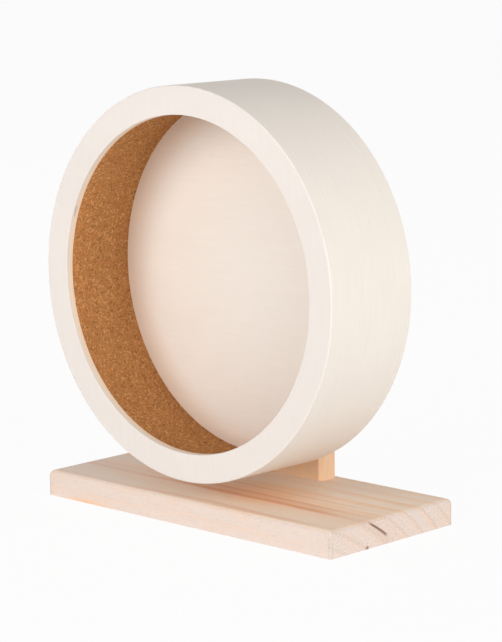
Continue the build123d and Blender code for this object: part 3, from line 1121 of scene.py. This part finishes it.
class WHEEL_OT_upright(Operator):
    """Pine upright with its rounded head and sunk nut seat"""

    bl_idname = "wheel.upright"
    bl_label = "Upright"

    def execute(self, context):
        stand = settings().stand
        low, high = POST_LOW, POST_HIGH
        half, facets = high.x, 48
        points = [(-half, high.y, low.z), (half, high.y, low.z)]
        points += [at_angle(half, math.pi * i / facets, high.y) for i in range(facets + 1)]
        board = thicken(filled("upright_pine", points), (0.0, low.y - high.y, 0.0))
        with editing(board, "EDGE"):
            for y in (low.y, high.y):
                pick(board, "EDGE", lambda place, part: (
                    place.z > low.z + MM and all(near(v.co.y, y) for v in part.verts)
                ))
                bpy.ops.mesh.bevel(offset=stand.post_bevel, segments=1)
        seat = span("wide_washer")[0]
        cut(board, cylinder("bolt hole cutter", stand.bolt_hole_radius, low.y - MM, high.y + MM))
        cut(board, cylinder("seat cutter", stand.nut_seat_radius, seat, high.y + MM))
        self.foot_holes(board, stand)
        finish_piece(board, STAND, upright_finish("planed pine upright"), ["upright"])
        return {"FINISHED"}

    def foot_holes(self, board, stand):
        """Holes for the two base screws and the two dowels in the upright's foot."""
        screw_low, screw_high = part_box("base_screws")
        dowel_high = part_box("dowels")[1]
        y = (screw_low.y + screw_high.y) / 2
        below = POST_LOW.z - MM
        screw_x, screw_top = stand.screw_spacing / 2, screw_high.z + 0.1 * MM
        dowel_x, dowel_top = dowel_high.x - stand.dowel_radius, dowel_high.z + 0.5 * MM
        dowel_hole = stand.dowel_radius + 0.1 * MM
        for side in (-1, 1):
            place = (side * screw_x, y)
            cut(board, cylinder("hole cutter", stand.screw_hole, below, screw_top, place, 48, "Z"))
            place = (side * dowel_x, y)
            cut(board, cylinder("dowel cutter", dowel_hole, below, dowel_top, place, 64, "Z"))


class WHEEL_OT_stage(Operator):
    """Pale floor, soft lamps and the camera"""

    bl_idname = "wheel.stage"
    bl_label = "Stage"

    def execute(self, context):
        studio = settings().studio
        only(None)
        bpy.ops.mesh.primitive_plane_add(size=FLOOR_SIZE, location=(0.0, 0.0, 0.0))
        floor = bpy.context.object
        floor.name = "floor"
        floor.data.materials.append(floor_finish("pale paper"))
        for side, (x, y) in LAMP_PLACES.items():
            self.lamp(f"{side} lamp", (x, y, LAMP_HEIGHT), getattr(studio, f"{side}_lamp"))
        self.room(studio.sky)
        self.camera(studio.lens)
        context.scene.view_settings.view_transform = "Standard"
        return {"FINISHED"}

    def lamp(self, name, place, power):
        only(None)
        bpy.ops.object.light_add(type="AREA", location=place)
        lamp = bpy.context.object
        lamp.name = name
        lamp.data.shape = "DISK"
        lamp.data.size = LAMP_SIZE
        lamp.data.energy = power
        aim = LAMP_TARGET - Vector(place)
        lamp.rotation_euler = aim.to_track_quat("-Z", "Y").to_euler()

    def room(self, level):
        """White ground to the camera and in reflections, a plain pale room to the rest."""
        f = Finish("pale room", "worlds")
        strength = level + f.seen(1.0 - level)
        sky = f.node("ShaderNodeBackground", inputs={"Color": WHITE, "Strength": strength})
        bpy.context.scene.world = f.output(sky, "ShaderNodeOutputWorld")

    def camera(self, lens):
        """Stand where the photograph was taken."""
        yaw, pitch, roll = (math.radians(degrees) for degrees in CAMERA_TURNS)
        ahead = Vector((-math.sin(yaw), math.cos(yaw), 0.0)) * math.cos(pitch)
        ahead.z = math.sin(pitch)
        level_right = ahead.cross(Vector((0.0, 0.0, 1.0))).normalized()
        level_up = level_right.cross(ahead)
        right = math.cos(roll) * level_right + math.sin(roll) * level_up
        up = math.cos(roll) * level_up - math.sin(roll) * level_right
        only(None)
        bpy.ops.object.camera_add()
        camera = bpy.context.object
        camera.name = "camera"
        turned = Matrix((right, up, -ahead)).transposed()
        camera.matrix_world = Matrix.Translation(CAMERA_PLACE) @ turned.to_4x4()
        camera.data.lens = lens
        camera.data.sensor_width = 36.0
        camera.data.clip_start = 0.01
        camera.data.clip_end = 50.0
        bpy.context.scene.camera = camera


STEPS = (
    WHEEL_OT_mouth_ring,
    WHEEL_OT_outer_hoop,
    WHEEL_OT_cork_lining,
    WHEEL_OT_discs,
    WHEEL_OT_hub,
    WHEEL_OT_axle,
    WHEEL_OT_bearings,
    WHEEL_OT_base_board,
    WHEEL_OT_upright,
    WHEEL_OT_stage,
)


class WHEEL_PT_sidebar(Panel):
    """Buttons for each piece of the wheel"""

    bl_idname = "WHEEL_PT_sidebar"
    bl_label = "Exercise Wheel"
    bl_space_type = "VIEW_3D"
    bl_region_type = "UI"
    bl_category = "Exercise Wheel"

    def draw(self, context):
        column = self.layout.column(align=True)
        for step in STEPS:
            column.operator(step.bl_idname)


CLASSES = (
    DrumSizes,
    HubSizes,
    StandSizes,
    AxleSizes,
    FinishColours,
    StudioSettings,
    ExerciseWheel,
    *STEPS,
    WHEEL_PT_sidebar,
)


def register():
    for made in CLASSES:
        bpy.utils.register_class(made)
    bpy.types.Scene.exercise_wheel = PointerProperty(type=ExerciseWheel)


def unregister():
    del bpy.types.Scene.exercise_wheel
    for made in reversed(CLASSES):
        bpy.utils.unregister_class(made)


def main():
    register()
    for step in STEPS:
        group, name = step.bl_idname.split(".")
        result = getattr(getattr(bpy.ops, group), name)()
        if result != {"FINISHED"}:
            raise RuntimeError(f"{step.bl_label} did not finish")


if __name__ == "__main__":
    main()
